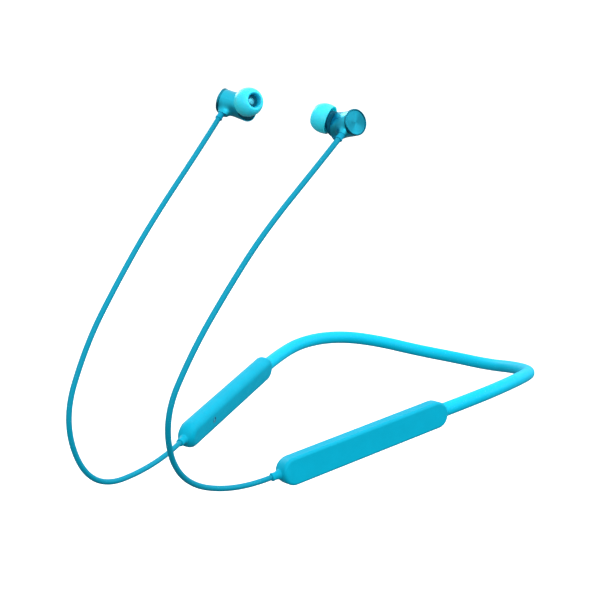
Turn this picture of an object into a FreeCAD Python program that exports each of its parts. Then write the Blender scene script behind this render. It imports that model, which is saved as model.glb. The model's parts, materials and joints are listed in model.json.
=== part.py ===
import FreeCAD, Part
import math
import os

# Neckband earphones in the pose in which they are worn.
# Millimetres, +Z up, +X is the wearer's left, -Y is the wearer's forward.
# The origin is the point of the neckband's inner face that rests on the nape of the neck.

V = FreeCAD.Vector

# ---- side modules ----
MODULE_HEIGHT = 12.2
MODULE_DEPTH = 8.2
MODULE_END_ROUND = 6.0        # corner radius of the long side outline
LEFT_EDGE_ROUNDS = (2.6, 1.3)     # round the neck side and the outer side
RIGHT_EDGE_ROUNDS = (3.4, 3.4)
LEAST_ROUND = 0.4             # inside the hollow
MODULE_WALL = 1.2
MODULE_LEAN = 6.0             # degrees, the top edge leans towards the neck
RELIEF_LENGTH = 4.2           # strain relief in front of each module
RELIEF_RADIUS = 1.85
LEFT_FRONT = V(26.5, -198.0, 2.8)
LEFT_BACK = V(53.0, -108.0, 13.8)
RIGHT_FRONT = V(-27.6, -196.4, 5.0)
RIGHT_BACK = V(-53.0, -105.8, 14.1)
MODULE_LENGTH = (LEFT_BACK - LEFT_FRONT).Length
BODY_FRONT = RELIEF_LENGTH
BODY_BACK = MODULE_LENGTH

# ---- bottom covers and their screws ----
COVER_HALF_WIDTH = 2.8
COVER_GAP = 0.08
COVER_CLEARANCE = 0.4         # past the rounded inside corners of the shell
COVER_INSET = 7.0             # from each end of the module
SCREW_SPOTS = (12.5, 85.5)    # along the module
SCREW_RADIUS = 0.75
SCREW_HEAD_RADIUS = 1.3
SCREW_HEAD_HEIGHT = 0.7
POST_RADIUS = 1.5

# ---- battery, in the left module ----
BATTERY_FRONT = 20.0
BATTERY_BACK = 68.0
BATTERY_HALF_DEPTH = 2.2
BATTERY_HALF_HEIGHT = 4.3
BATTERY_EDGE_ROUND = 0.9
PAD_THICK = 0.6
PAD_INSET = 4.0               # from each end of the battery
BATTERY_BOARD_FRONT = 70.0
BATTERY_BOARD_BACK = 79.0
BATTERY_BOARD_HALF_HEIGHT = 3.8

# ---- controls of the right module ----
BUTTON_SPOTS = {"volume_up_button": 34.0, "call_button": 46.0, "volume_down_button": 58.0}
BUTTON_LENGTH = 9.0
BUTTON_WIDTH = 4.0
BUTTON_PROUD = 0.55
BUTTON_GAP = 0.1
BUTTON_TRAVEL = 0.35
SWITCH_HEIGHT = 1.6
BOARD_FRONT = 16.0
BOARD_BACK = 74.0
BOARD_HEIGHT = 8.4
BOARD_THICK = 0.8
BOARD_FACE = -0.1             # outward face of the main board
LENS_SPOT = (27.0, 0.4)       # along the module and up
LENS_RADIUS = 1.45
USB_FRONT = 75.0
USB_LENGTH = 7.6
USB_WIDTH = 2.8
USB_DEPTH = 5.0
DOOR_GAP = 0.1
DOOR_THICK = 0.85
HINGE_RADIUS = 0.4
HINGE_ALONG = USB_FRONT - 0.7
HINGE_LEVEL = -MODULE_HEIGHT / 2 + HINGE_RADIUS + 0.2
HINGE_HALF_LENGTH = 2.0

# ---- neckband ----
BAND_RADIUS = 3.2
BAND_LUMEN = 1.65
BAND_INSERT = 4.0             # length held inside each module
SPRING_RADIUS = 0.6
LEADS_RADIUS = 0.55
WIRE_OFFSET = 0.8
BAND_ROUTE = (
    V(58.7, -86.0, 15.8), V(60.3, -62.2, 16.2), V(56.7, -39.2, 13.9), V(47.6, -19.2, 9.0),
    V(30.6, -3.7, 4.1), V(10.3, BAND_RADIUS, 0.0), V(-10.3, BAND_RADIUS, 0.0),
    V(-30.3, -4.4, 2.2), V(-46.8, -19.2, 8.0), V(-56.4, -38.8, 13.2), V(-60.2, -61.1, 15.8),
    V(-58.9, -84.4, 15.7),
)

# ---- ear cords ----
CORD_RADIUS = 1.2
ARC_SHARE = 0.45              # of the shorter run, taken by each bend
LEFT_CORD = (
    V(26.5, -198.0, 2.8), V(21.5, -215.0, 0.7), V(20.7, -248.2, 14.6), V(27.0, -262.0, 46.0),
    V(27.9, -245.7, 70.0), V(28.5, -226.0, 90.0), V(29.5, -204.9, 109.5), V(32.84, -173.27, 133.48),
    V(33.43, -162.34, 141.39),
)
RIGHT_CORD = (
    V(-27.6, -196.4, 5.0), V(-21.4, -217.7, 2.4), V(-21.9, -254.2, 2.3), V(-25.6, -265.6, 33.0),
    V(-26.5, -250.5, 63.0), V(-27.5, -230.5, 85.5), V(-30.4, -207.2, 106.3), V(-32.35, -172.2, 135.1),
    V(-33.25, -161.35, 144.42),
)

# ---- ear buds: local x runs from the back face towards the ear ----
LEFT_BUD = V(37.24, -155.08, 148.16)      # middle of the back face
LEFT_BUD_FORWARD = V(-0.940, 0.232, -0.251)
LEFT_BUD_CORD = V(-0.043, -0.809, -0.586)
RIGHT_BUD = V(-37.25, -154.74, 151.73)
RIGHT_BUD_FORWARD = V(0.937, 0.270, -0.224)
RIGHT_BUD_CORD = V(0.063, -0.757, -0.650)
BUD_BACK_RADIUS = 5.6
BUD_BORE = 4.6
CAP_PLUG_END = 2.5
MAGNET_RADIUS = 3.0
MAGNET_THICK = 1.2
DRIVER_BACK = 5.6
DRIVER_THICK = 2.8
MESH_THICK = 0.3
BARREL_BACK = 1.3
BARREL_WAIST_RADIUS = 5.25
BARREL_FRONT = 12.6
BARREL_FRONT_RADIUS = 5.8
SHOULDER_TILT = 28.0
NOZZLE_TILT = 41.0
NOZZLE_SWING = 8.0            # towards the cord side
NOZZLE_ROOT = 8.1             # where the nozzle's axis leaves the barrel's axis
NOZZLE_RADIUS = 2.4
NOZZLE_BORE = 1.7
NOZZLE_LIP = 2.65
NOZZLE_END = 11.6
FLANGE_AT = 6.4
FLANGE_RADIUS = 4.1
FLANGE_THICK = 0.5
FRONT_WALL = 0.9
SKIRT_BULGE = 0.5
SKIRT_BACK_RADIUS = 5.45
CORD_EXIT_ALONG = 3.6
CORD_EXIT_OUT = 10.0
BOSS_OUT = 7.2
BUD_RELIEF_RADIUS = 1.6
TIP_BACK = 6.35
TIP_CORE_BACK = 7.15
TIP_WIDEST = 9.2
TIP_FRONT = 13.95
TIP_RADIUS = 6.3
TIP_SKIRT_THICK = 0.45
TIP_BORE = 2.7
TIP_CORE_RADIUS = 3.55
TIP_MOUTH_RADIUS = 3.5        # of the funnel at the front

os.makedirs("parts", exist_ok=True)


# ---------------- helpers ----------------
def save(name, *solids):
    shape = solids[0] if len(solids) == 1 else Part.makeCompound(list(solids))
    shape.exportStep("parts/" + name + ".step")
    count = len(shape.Solids)
    print(f"{name}: {count} solid(s), {shape.Volume:.1f} mm3, valid {shape.isValid()}")


def block(x0, x1, y0, y1, z0, z1):
    return Part.makeBox(x1 - x0, y1 - y0, z1 - z0, V(x0, y0, z0))


def rod(start, end, radius):
    return Part.makeCylinder(radius, (end - start).Length, start, end - start)


def revolve(points, axis=V(1, 0, 0)):
    """Solid of revolution about the local x axis from (x, radius) points."""
    corners = [V(x, r, 0) for x, r in points]
    face = Part.Face(Part.makePolygon(corners + corners[:1]))
    return face.revolve(V(0, 0, 0), axis, 360)


def slot_prism(x, z, length, width, y0, y1):
    """A stadium outline in the local x-z plane, extruded along y."""
    half = length / 2 - width / 2
    r = width / 2
    left_low, left_high = V(x - half, y0, z - r), V(x - half, y0, z + r)
    right_low, right_high = V(x + half, y0, z - r), V(x + half, y0, z + r)
    edges = [
        Part.makeLine(left_low, right_low),
        Part.Arc(right_low, V(x + half + r, y0, z), right_high).toShape(),
        Part.makeLine(right_high, left_high),
        Part.Arc(left_high, V(x - half - r, y0, z), left_low).toShape(),
    ]
    return Part.Face(Part.Wire(edges)).extrude(V(0, y1 - y0, 0))


def rounded_route(points):
    """Straight runs joined by tangent arcs; returns the wire and the arc radii."""
    edges, radii = [], []
    last = points[0]
    for before, corner, after in zip(points, points[1:], points[2:]):
        back_way = (before - corner).normalize()
        on_way = (after - corner).normalize()
        reach = ARC_SHARE * min((before - corner).Length, (after - corner).Length)
        half_turn = (math.pi - back_way.getAngle(on_way)) / 2
        radius = reach / math.tan(half_turn)
        radii.append(radius)
        start = corner + back_way * reach
        end = corner + on_way * reach
        towards_centre = (back_way + on_way).normalize()
        middle = corner + towards_centre * (radius / math.cos(half_turn) - radius)
        edges.append(Part.LineSegment(last, start).toShape())
        edges.append(Part.Arc(start, middle, end).toShape())
        last = end
    edges.append(Part.LineSegment(last, points[-1]).toShape())
    return Part.Wire(edges), radii


def tube_along(points, radius):
    wire, radii = rounded_route(points)
    start_way = points[1] - points[0]
    ring = Part.Wire(Part.Circle(points[0], start_way, radius).toShape())
    tube = wire.makePipeShell([ring], True, False)
    return tube, wire.Length, radii


def report_tube(name, tube, length, radii, radius):
    expected = math.pi * radius * radius * length
    listed = ", ".join(f"{r:.0f}" for r in radii)
    print(f"{name}: length {length:.1f}, volume {tube.Volume:.1f} of {expected:.1f}, radii {listed}")


def frame(origin, x_way, z_way):
    """Placement whose local x lies along x_way and local z as near z_way as it can."""
    x_axis = V(x_way).normalize()
    y_axis = z_way.cross(x_axis).normalize()
    z_axis = x_axis.cross(y_axis)
    return FreeCAD.Placement(origin, FreeCAD.Rotation(x_axis, y_axis, z_axis, "XYZ"))


def put(shape, placement):
    return shape.transformed(placement.toMatrix())


def put_all(prefix, parts, placement):
    for name, shape in parts.items():
        save(prefix + name, put(shape, placement))


# ---------------- side modules ----------------
def pill(inset, edge_rounds):
    """The module's rounded body, shrunk by inset; edge_rounds are for its +y and -y sides."""
    x0 = BODY_FRONT + inset
    x1 = BODY_BACK - inset
    high = MODULE_HEIGHT / 2 - inset
    half_depth = MODULE_DEPTH / 2 - inset
    body = block(x0, x1, -half_depth, half_depth, -high, high)
    corners = [e for e in body.Edges if abs(e.tangentAt(e.FirstParameter).y) > 0.9]
    body = body.makeFillet(MODULE_END_ROUND - inset, corners)
    for side, edge_round in zip((1, -1), edge_rounds):
        rims = [e for e in body.Edges if abs(e.CenterOfMass.y - side * half_depth) < 1e-3]
        body = body.makeFillet(max(edge_round - inset, LEAST_ROUND), rims)
    return body


def cord_relief():
    """Rubber strain relief: a waisted neck outside, a flange inside the shell."""
    neck = 2.1
    flare = 2.9
    wall_inside = BODY_FRONT + MODULE_WALL
    edges = [
        Part.makeLine(V(0, 0, 0), V(0, RELIEF_RADIUS - 0.25, 0)),
        Part.makeLine(V(0, RELIEF_RADIUS - 0.25, 0), V(0.25, RELIEF_RADIUS, 0)),
        Part.makeLine(V(0.25, RELIEF_RADIUS, 0), V(neck, RELIEF_RADIUS, 0)),
        Part.Arc(V(neck, RELIEF_RADIUS, 0), V(3.75, 2.15, 0), V(wall_inside - 0.4, flare, 0)).toShape(),
        Part.makeLine(V(wall_inside - 0.4, flare, 0), V(wall_inside + 0.9, flare, 0)),
        Part.makeLine(V(wall_inside + 0.9, flare, 0), V(wall_inside + 0.9, 0, 0)),
        Part.makeLine(V(wall_inside + 0.9, 0, 0), V(0, 0, 0)),
    ]
    return Part.Face(Part.Wire(edges)).revolve(V(0, 0, 0), V(1, 0, 0), 360)


def cover_room(gap, lift=0.0):
    """The space in the underside that the bottom cover fills, less a gap; lift makes it taller."""
    low = -MODULE_HEIGHT / 2 - 1
    high = -MODULE_HEIGHT / 2 + MODULE_WALL + lift
    half = COVER_HALF_WIDTH - gap
    return block(BODY_FRONT + COVER_INSET + gap, BODY_BACK - COVER_INSET - gap, -half, half, low, high)


def screw_posts():
    """Two posts from the roof of the shell, drilled for the screws."""
    top = MODULE_HEIGHT / 2 - MODULE_WALL / 2
    bottom = -MODULE_HEIGHT / 2 + MODULE_WALL
    posts, holes = [], []
    for x in SCREW_SPOTS:
        posts.append(rod(V(x, 0, bottom), V(x, 0, top), POST_RADIUS))
        holes.append(rod(V(x, 0, bottom), V(x, 0, -0.6), SCREW_RADIUS))
    return posts, holes


def screws():
    floor = -MODULE_HEIGHT / 2
    found = []
    for x in SCREW_SPOTS:
        head_top = V(x, 0, floor + SCREW_HEAD_HEIGHT)
        head = rod(V(x, 0, floor + 0.08), head_top, SCREW_HEAD_RADIUS)
        shank = rod(head_top, V(x, 0, -1.0), SCREW_RADIUS)
        recess = rod(V(x, 0, floor + 0.08), V(x, 0, floor + 0.42), 0.45)
        found.append(head.fuse(shank).cut(recess).removeSplitter())
    return Part.makeCompound(found)


def bare_shell(band_tube, edge_rounds):
    """Hollow one-piece shell with the underside opening, posts, and end holes."""
    shell = pill(0, edge_rounds).cut(pill(MODULE_WALL, edge_rounds))
    shell = shell.cut(cover_room(0, COVER_CLEARANCE))
    posts, holes = screw_posts()
    shell = shell.fuse(posts).cut(holes)
    return shell.cut([cord_relief(), band_tube])


def bare_cover(edge_rounds):
    cover = pill(0, edge_rounds).common(cover_room(COVER_GAP))
    floor = -MODULE_HEIGHT / 2
    for x in SCREW_SPOTS:
        shank_hole = rod(V(x, 0, floor - 1), V(x, 0, 0), SCREW_RADIUS + 0.05)
        head_top = V(x, 0, floor + SCREW_HEAD_HEIGHT)
        head_hole = rod(V(x, 0, floor - 1), head_top, SCREW_HEAD_RADIUS + 0.08)
        cover = cover.cut([shank_hole, head_hole])
    return cover


def battery():
    depth, height = BATTERY_HALF_DEPTH, BATTERY_HALF_HEIGHT
    cell = block(BATTERY_FRONT, BATTERY_BACK, -depth, depth, -height, height)
    long_edges = [e for e in cell.Edges if abs(e.tangentAt(e.FirstParameter).x) > 0.9]
    return cell.makeFillet(BATTERY_EDGE_ROUND, long_edges)


def left_module(placement, band_tube):
    pad_back = BATTERY_HALF_DEPTH + 0.05
    pad_height = BATTERY_HALF_HEIGHT - 0.7
    pad = block(
        BATTERY_FRONT + PAD_INSET, BATTERY_BACK - PAD_INSET,
        pad_back, pad_back + PAD_THICK, -pad_height, pad_height,
    )
    board_height = BATTERY_BOARD_HALF_HEIGHT
    board = block(
        BATTERY_BOARD_FRONT, BATTERY_BOARD_BACK,
        -BOARD_THICK / 2, BOARD_THICK / 2, -board_height, board_height,
    )
    parts = {
        "left_shell": bare_shell(put(band_tube, placement.inverse()), LEFT_EDGE_ROUNDS),
        "left_bottom_cover": bare_cover(LEFT_EDGE_ROUNDS),
        "left_cord_relief": cord_relief(),
        "left_cover_screws": screws(),
        "battery": battery(),
        "battery_pad": pad,
        "battery_board": board,
    }
    put_all("", parts, placement)


# ---------------- controls ----------------
def button(x):
    """Key cap with a retaining flange and a stem above its switch."""
    outer = MODULE_DEPTH / 2
    inner = outer - MODULE_WALL
    stem_foot = BOARD_FACE + SWITCH_HEIGHT + BUTTON_TRAVEL + 0.05
    cap = slot_prism(x, 0, BUTTON_LENGTH, BUTTON_WIDTH, inner - 0.05, outer + BUTTON_PROUD)
    rim = [e for e in cap.Edges if abs(e.CenterOfMass.y - outer - BUTTON_PROUD) < 1e-3]
    cap = cap.makeFillet(0.45, rim)
    flange = slot_prism(x, 0, BUTTON_LENGTH + 1.2, BUTTON_WIDTH + 1.2, inner - 0.45, inner - 0.05)
    stem = rod(V(x, stem_foot, 0), V(x, inner - 0.45, 0), 0.9)
    return cap.fuse([flange, stem]).removeSplitter()


def key_switches():
    found = []
    for x in BUTTON_SPOTS.values():
        can = block(x - 1.8, x + 1.8, BOARD_FACE, BOARD_FACE + 1.1, -1.5, 1.5)
        plunger = rod(V(x, BOARD_FACE + 1.1, 0), V(x, BOARD_FACE + SWITCH_HEIGHT, 0), 0.8)
        found.append(can.fuse(plunger).removeSplitter())
    return Part.makeCompound(found)


def board_chip(x0, x1, z0, z1, thick):
    back_face = BOARD_FACE - BOARD_THICK
    return block(x0, x1, back_face - thick, back_face, z0, z1)


def board_capacitors():
    spots = [(36.0, 2.6), (38.5, 2.6), (36.0, -2.6), (52.0, 2.8), (54.5, 2.8), (57.0, 2.8)]
    return Part.makeCompound([board_chip(x, x + 1.2, z - 0.35, z + 0.35, 0.5) for x, z in spots])


def main_board():
    half = BOARD_HEIGHT / 2
    board = block(BOARD_FRONT, BOARD_BACK, BOARD_FACE - BOARD_THICK, BOARD_FACE, -half, half)
    corners = [e for e in board.Edges if abs(e.tangentAt(e.FirstParameter).y) > 0.9]
    return board.makeFillet(1.0, corners)


def status_lens():
    """Light guide: a round face in the wall and a flange behind it."""
    x, z = LENS_SPOT
    outer = -MODULE_DEPTH / 2
    inner = outer + MODULE_WALL
    face = rod(V(x, outer, z), V(x, inner, z), LENS_RADIUS)
    flange = rod(V(x, inner, z), V(x, inner + 0.5, z), LENS_RADIUS + 0.5)
    return face.fuse(flange).removeSplitter()


def usb_body():
    low = -MODULE_HEIGHT / 2 + MODULE_WALL
    return block(USB_FRONT, USB_FRONT + USB_LENGTH, -USB_WIDTH / 2, USB_WIDTH / 2, low, low + USB_DEPTH)


def usb_socket():
    """Metal shell open at the bottom, with its contact tongue."""
    low = -MODULE_HEIGHT / 2 + MODULE_WALL
    wall = 0.35
    mouth = block(
        USB_FRONT + wall, USB_FRONT + USB_LENGTH - wall,
        -USB_WIDTH / 2 + wall, USB_WIDTH / 2 - wall, low - 1, low + USB_DEPTH - 0.8,
    )
    tongue = block(
        USB_FRONT + 2.0, USB_FRONT + USB_LENGTH - 2.0, 0.1, 0.7, low + 1.9, low + USB_DEPTH - 0.8,
    )
    return usb_body().cut(mouth).fuse(tongue).removeSplitter()


def door_outline(grow):
    """The door's rectangle in the underside of the module."""
    low = -MODULE_HEIGHT / 2 - 1
    high = -MODULE_HEIGHT / 2 + DOOR_THICK + grow
    front = USB_FRONT - 1.3 - grow
    back = USB_FRONT + USB_LENGTH + 0.9 + grow
    return block(front, back, -1.7 - grow, 1.7 + grow, low, high)


def hinge_rod(radius, half_length):
    start = V(HINGE_ALONG, -half_length, HINGE_LEVEL)
    return rod(start, start + V(0, 2 * half_length, 0), radius)


def usb_cover():
    """Rubber door: a flush plate, a plug that fills the socket's mouth, and hinge stubs."""
    plate_top = -MODULE_HEIGHT / 2 + DOOR_THICK
    plate = pill(0, RIGHT_EDGE_ROUNDS).common(door_outline(0))
    plug_front, plug_back = USB_FRONT + 1.1, USB_FRONT + USB_LENGTH - 1.1
    plug = block(plug_front, plug_back, -0.85, -0.05, plate_top, plate_top + 1.4)
    stubs = hinge_rod(HINGE_RADIUS, HINGE_HALF_LENGTH)
    front_round = block(HINGE_ALONG - 0.7, HINGE_ALONG, -3, 3, -MODULE_HEIGHT / 2 - 1, plate_top + 1)
    plate = plate.cut(front_round)
    return plate.fuse([plug, stubs]).removeSplitter()


def right_shell(band_tube):
    shell = bare_shell(band_tube, RIGHT_EDGE_ROUNDS)
    outer = MODULE_DEPTH / 2
    cuts = []
    for x in BUTTON_SPOTS.values():
        long_side = BUTTON_LENGTH + 2 * BUTTON_GAP
        short_side = BUTTON_WIDTH + 2 * BUTTON_GAP
        cuts.append(slot_prism(x, 0, long_side, short_side, outer - MODULE_WALL - 0.5, outer + 0.5))
    x, z = LENS_SPOT
    cuts.append(rod(V(x, -outer - 1, z), V(x, -outer + MODULE_WALL + 0.4, z), LENS_RADIUS))
    return shell.cut(cuts)


def right_bottom_cover():
    cover = bare_cover(RIGHT_EDGE_ROUNDS)
    microphone_hole = rod(V(22.0, 0, -8), V(22.0, 0, 0), 0.5)
    mouth = block(
        USB_FRONT + 0.3, USB_FRONT + USB_LENGTH - 0.3, -1.15, 1.15, -MODULE_HEIGHT / 2 - 1, 0,
    )
    hinge_room = hinge_rod(HINGE_RADIUS + 0.07, HINGE_HALF_LENGTH + 0.1)
    return cover.cut([microphone_hole, mouth, door_outline(DOOR_GAP), hinge_room])


def right_module(placement, band_tube):
    x, z = LENS_SPOT
    parts = {
        "right_shell": right_shell(put(band_tube, placement.inverse())),
        "right_bottom_cover": right_bottom_cover(),
        "right_cord_relief": cord_relief(),
        "right_cover_screws": screws(),
        "main_board": main_board(),
        "key_switches": key_switches(),
        "bluetooth_chip": board_chip(62.0, 68.0, -3.0, 3.0, 0.9),
        "power_chip": board_chip(43.0, 47.0, -2.0, 2.0, 0.8),
        "antenna": board_chip(70.2, 73.2, -3.5, 3.5, 0.6),
        "board_capacitors": board_capacitors(),
        "status_led": board_chip(x - 0.8, x + 0.8, z - 0.5, z + 0.5, 0.7),
        "microphone": board_chip(20.6, 23.4, -4.2, -1.4, 1.0),
        "status_lens": status_lens(),
        "usb_socket": usb_socket(),
        "usb_cover": usb_cover(),
    }
    for name, spot in BUTTON_SPOTS.items():
        parts[name] = button(spot)
    put_all("", parts, placement)


# ---------------- neckband ----------------
def neckband(left_place, right_place):
    """Silicone sleeve around a spring wire and leads; returns the sleeve without its lumen."""
    inner_left = left_place.multVec(V(BODY_BACK - BAND_INSERT, 0, 0))
    inner_right = right_place.multVec(V(BODY_BACK - BAND_INSERT, 0, 0))
    points = [inner_left, *BAND_ROUTE, inner_right]
    sleeve, length, radii = tube_along(points, BAND_RADIUS)
    report_tube("neckband", sleeve, length, radii, BAND_RADIUS)
    lumen = tube_along(points, BAND_LUMEN)[0]
    save("neckband_sleeve", sleeve.cut(lumen))
    for name, radius, lift in (
        ("spring_wire", SPRING_RADIUS, -WIRE_OFFSET),
        ("band_leads", LEADS_RADIUS, WIRE_OFFSET),
    ):
        shifted = [p + V(0, 0, lift) for p in points]
        save(name, tube_along(shifted, radius)[0])
    return sleeve


# ---------------- ear buds ----------------
def circle_wire(centre, way, radius):
    return Part.Wire(Part.Circle(centre, way, radius).toShape())


def tilted(angle, swing_side):
    """Unit vector leaning from local x by angle, towards y and a little towards the cord."""
    lean = math.radians(angle)
    swing = math.radians(NOZZLE_SWING)
    side = math.sin(lean)
    return V(math.cos(lean), side * math.cos(swing), side * math.sin(swing) * swing_side)


def back_cap():
    """Metal back disc: raised rim, sunken turned face, plug that fits the barrel."""
    rim = BUD_BACK_RADIUS
    return revolve([
        (0.42, 0), (0.5, 4.72), (0.1, 4.82), (0.0, 4.95), (0.0, rim - 0.2), (0.2, rim),
        (0.8, rim), (BARREL_BACK, rim - 0.3), (BARREL_BACK, BUD_BORE), (CAP_PLUG_END, BUD_BORE), (CAP_PLUG_END, 0),
    ])


def barrel(cord_side):
    """Waisted metal barrel with a slanted front and the boss for the cord."""
    slim, wide = BARREL_WAIST_RADIUS, BARREL_FRONT_RADIUS
    sections = (
        (BARREL_BACK, BUD_BACK_RADIUS - 0.3), (3.0, slim + 0.05), (5.3, slim), (8.0, slim + 0.12),
        (10.6, wide - 0.18), (BARREL_FRONT, wide), (BARREL_FRONT + 5, wide + 0.1),
    )
    rings = [circle_wire(V(x, 0, 0), V(1, 0, 0), radius) for x, radius in sections]
    body = Part.makeLoft(rings, True)
    out = V(0, 0, cord_side)
    root = V(CORD_EXIT_ALONG, 0, 0)
    boss = Part.makeCone(3.0, 1.75, BOSS_OUT - 2.5, root + out * 2.5, out)
    boss = boss.common(block(BARREL_BACK, 12, -6, 6, -9, 9))
    bore = rod(V(0, 0, 0), V(BARREL_FRONT + 6, 0, 0), BUD_BORE)
    cord_hole = rod(root + out * 3, root + out * 12, CORD_RADIUS)
    shoulder = V(BARREL_FRONT, 0, 0)
    beyond = rod(shoulder, shoulder + tilted(SHOULDER_TILT, cord_side) * 9, BUD_BACK_RADIUS * 3)
    return body.fuse(boss).cut([bore, cord_hole, beyond]).removeSplitter()


def bud_relief(cord_side):
    out = V(0, 0, cord_side)
    root = V(CORD_EXIT_ALONG, 0, 0)
    core = rod(root + out * (BUD_BORE + 0.25), root + out * BOSS_OUT, CORD_RADIUS)
    collar = rod(root + out * BOSS_OUT, root + out * CORD_EXIT_OUT, BUD_RELIEF_RADIUS)
    edge = [e for e in collar.Edges if abs(abs(e.CenterOfMass.z) - CORD_EXIT_OUT) < 1e-3]
    collar = collar.makeFillet(0.3, edge)
    return core.fuse(collar).removeSplitter()


def front_shell(cord_side):
    """Front casing: slanted skirt from the barrel to the flange, and the sound nozzle."""
    way = tilted(NOZZLE_TILT, cord_side)
    root = V(NOZZLE_ROOT, 0, 0)
    shoulder = tilted(SHOULDER_TILT, cord_side)
    flange = root + way * FLANGE_AT
    middle_way = tilted((SHOULDER_TILT + NOZZLE_TILT) / 2, cord_side)
    middle = (V(BARREL_FRONT, 0, 0) + flange) * 0.5 + middle_way * SKIRT_BULGE

    def skirt(inset):
        return Part.makeLoft([
            circle_wire(V(BARREL_FRONT, 0, 0), shoulder, SKIRT_BACK_RADIUS - inset),
            circle_wire(middle, middle_way, (SKIRT_BACK_RADIUS + FLANGE_RADIUS) / 2 + 0.3 - inset),
            circle_wire(flange, way, FLANGE_RADIUS - inset),
        ], True, True)

    spout = rod(root + way * (FLANGE_AT - 0.5), root + way * NOZZLE_END, NOZZLE_RADIUS)
    lip = rod(root + way * (NOZZLE_END - 0.7), root + way * NOZZLE_END, NOZZLE_LIP)
    flange_plate = rod(flange, flange + way * FLANGE_THICK, FLANGE_RADIUS)
    hollow = skirt(FRONT_WALL)
    bore = rod(root + way * 3, root + way * (NOZZLE_END + 1), NOZZLE_BORE)
    cap = rod(flange - way * FRONT_WALL, flange, FLANGE_RADIUS - 0.3)
    body = skirt(0).cut(hollow).fuse([cap, flange_plate, spout, lip])
    return body.cut(bore).removeSplitter()


def ear_tip(cord_side):
    """Soft tip: a core that fits the nozzle and a mushroom cap with a thin skirt."""
    way = tilted(NOZZLE_TILT, cord_side)
    back_outer = V(TIP_BACK, TIP_RADIUS - 0.3, 0)
    back_inner = V(TIP_BACK, TIP_RADIUS - 0.3 - TIP_SKIRT_THICK, 0)
    widest = V(TIP_WIDEST, TIP_RADIUS, 0)
    nose = V(TIP_FRONT - 0.1, TIP_MOUTH_RADIUS + 0.4, 0)
    mouth = V(TIP_FRONT, TIP_MOUTH_RADIUS, 0)
    bore_front = V(TIP_FRONT - 1.1, TIP_BORE, 0)
    bore_back = V(TIP_CORE_BACK, TIP_BORE, 0)
    core_back = V(TIP_CORE_BACK, TIP_CORE_RADIUS, 0)
    core_front = V(TIP_FRONT - 3.2, TIP_CORE_RADIUS, 0)
    fold = V(TIP_FRONT - 2.7, TIP_CORE_RADIUS + 0.85, 0)
    edges = [
        Part.makeLine(bore_back, bore_front),
        Part.Arc(bore_front, V(TIP_FRONT - 0.45, TIP_BORE + 0.25, 0), mouth).toShape(),
        Part.Arc(mouth, V(TIP_FRONT + 0.02, TIP_MOUTH_RADIUS + 0.22, 0), nose).toShape(),
        Part.Arc(nose, V(12.05, 5.55, 0), widest).toShape(),
        Part.Arc(widest, V(7.7, TIP_RADIUS - 0.05, 0), back_outer).toShape(),
        Part.makeLine(back_outer, back_inner),
        Part.Arc(back_inner, V(8.8, 5.62, 0), fold).toShape(),
        Part.Arc(fold, V(TIP_FRONT - 2.8, TIP_CORE_RADIUS + 0.35, 0), core_front).toShape(),
        Part.makeLine(core_front, core_back),
        Part.makeLine(core_back, bore_back),
    ]
    tip = Part.Face(Part.Wire(edges)).revolve(V(0, 0, 0), V(1, 0, 0), 360)
    return put(tip, frame(V(NOZZLE_ROOT, 0, 0), way, V(0, 0, 1)))


def ear_bud(side, origin, forward, cord_way):
    """cord_side is the sign of local z on which the cord leaves."""
    cord_side = 1 if side == "right" else -1
    placement = frame(origin, forward, cord_way * cord_side)
    way = tilted(NOZZLE_TILT, cord_side)
    plug_end = V(CAP_PLUG_END, 0, 0)
    driver_back = V(DRIVER_BACK, 0, 0)
    mesh_at = V(NOZZLE_ROOT, 0, 0) + way * (NOZZLE_END - 0.5)
    parts = {
        "_back_cap": back_cap(),
        "_magnet": rod(plug_end, plug_end + V(MAGNET_THICK, 0, 0), MAGNET_RADIUS),
        "_barrel": barrel(cord_side),
        "_driver": rod(driver_back, driver_back + V(DRIVER_THICK, 0, 0), BUD_BORE - 0.1),
        "_front_shell": front_shell(cord_side),
        "_nozzle_mesh": rod(mesh_at, mesh_at + way * MESH_THICK, NOZZLE_BORE),
        "_ear_tip": ear_tip(cord_side),
        "_bud_relief": bud_relief(cord_side),
    }
    put_all(side, parts, placement)
    print(side, "tip slide axis", placement.Rotation.multVec(way))
    print(side, "back rim", placement.multVec(V(0, BUD_BACK_RADIUS - 0.42, 0)))
    print(side, "back normal", placement.Rotation.multVec(V(-1, 0, 0)))


def ear_cord(name, route):
    tube, length, radii = tube_along(list(route), CORD_RADIUS)
    report_tube(name, tube, length, radii, CORD_RADIUS)
    save(name, tube)


# ---------------- assembly ----------------
def module_place(front, back, inward):
    way = (back - front).normalize()
    lean = math.radians(MODULE_LEAN)
    up = V(inward * math.sin(lean), 0, math.cos(lean))
    return frame(front, way, up)


left_place = module_place(LEFT_FRONT, LEFT_BACK, -1)
right_place = module_place(RIGHT_FRONT, RIGHT_BACK, 1)
band_tube = neckband(left_place, right_place)
left_module(left_place, band_tube)
right_module(right_place, band_tube)
ear_bud("left", LEFT_BUD, LEFT_BUD_FORWARD, LEFT_BUD_CORD)
ear_bud("right", RIGHT_BUD, RIGHT_BUD_FORWARD, RIGHT_BUD_CORD)
ear_cord("left_ear_cord", LEFT_CORD)
ear_cord("right_ear_cord", RIGHT_CORD)
print("button axis", right_place.Rotation.multVec(V(0, -1, 0)))
print("hinge at", right_place.multVec(V(HINGE_ALONG, 0, HINGE_LEVEL)))
print("hinge axis", right_place.Rotation.multVec(V(0, 1, 0)))
socket_mouth = V(USB_FRONT + USB_LENGTH / 2, 0, -MODULE_HEIGHT / 2 + MODULE_WALL)
print("usb mouth", right_place.multVec(socket_mouth))
print("usb way", right_place.Rotation.multVec(V(0, 0, -1)))
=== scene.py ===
import json
import math

import bmesh
import bpy
from mathutils import Matrix, Vector


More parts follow.
